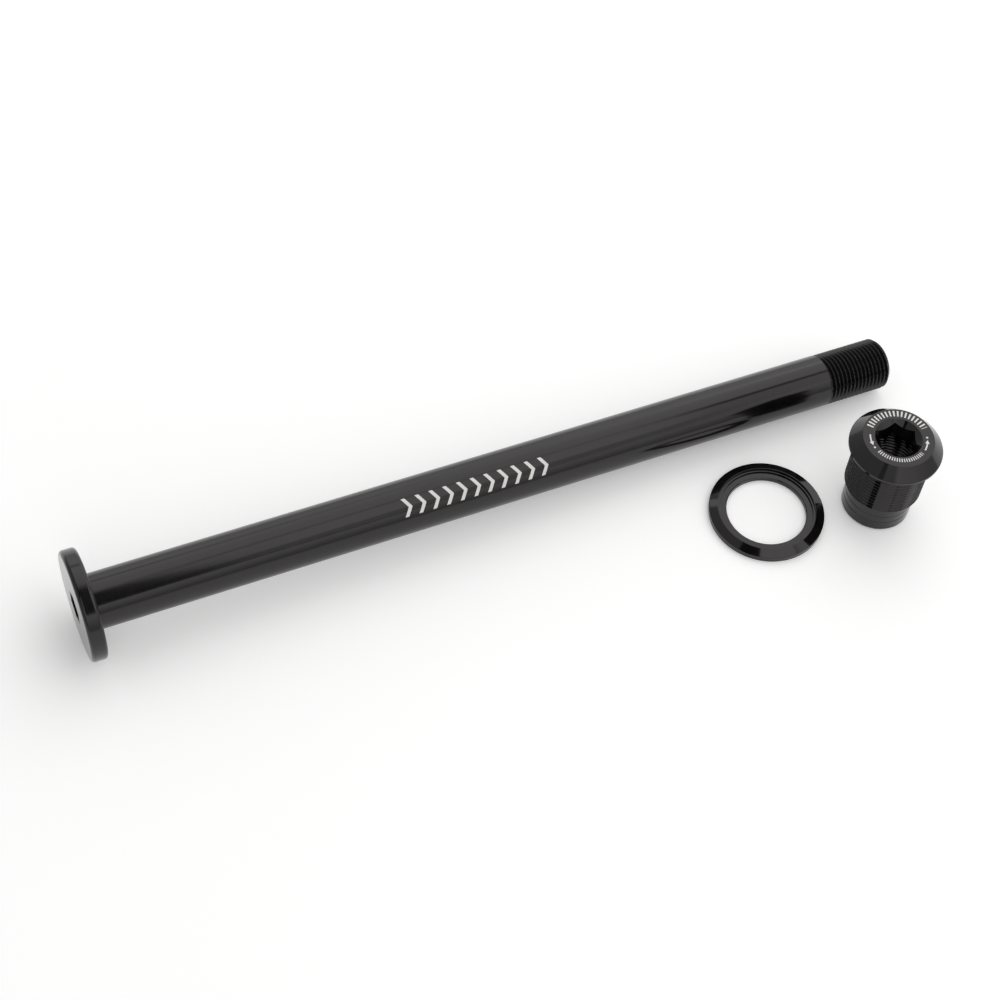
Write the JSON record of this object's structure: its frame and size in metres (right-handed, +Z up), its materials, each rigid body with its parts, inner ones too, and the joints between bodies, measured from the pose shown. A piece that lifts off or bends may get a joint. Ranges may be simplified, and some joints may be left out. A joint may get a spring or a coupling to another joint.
{
  "type": "bicycle rear axle",
  "caption": "Hollow rear thru-axle with a disc head and a threaded tip, beside its conical washer and the hollow flanged bolt that it screws into.",
  "frame": {"origin": "on the surface that the pieces rest on, under the middle of the set's bounding box", "axes": "+X along the axle from its head towards its threaded tip, +Z up from the surface"},
  "size_m": [0.193, 0.0538, 0.0242],
  "materials": {
    "black_anodised_thru_axle": "satin black anodised",
    "black_anodised_cone_washer": "satin black anodised",
    "black_anodised_hanger_bolt": "satin black anodised"
  },
  "bodies": {
    "root": {"thru_axle": "black_anodised_thru_axle", "cone_washer": "black_anodised_cone_washer", "hanger_bolt": "black_anodised_hanger_bolt"}
  },
  "joints": []
}
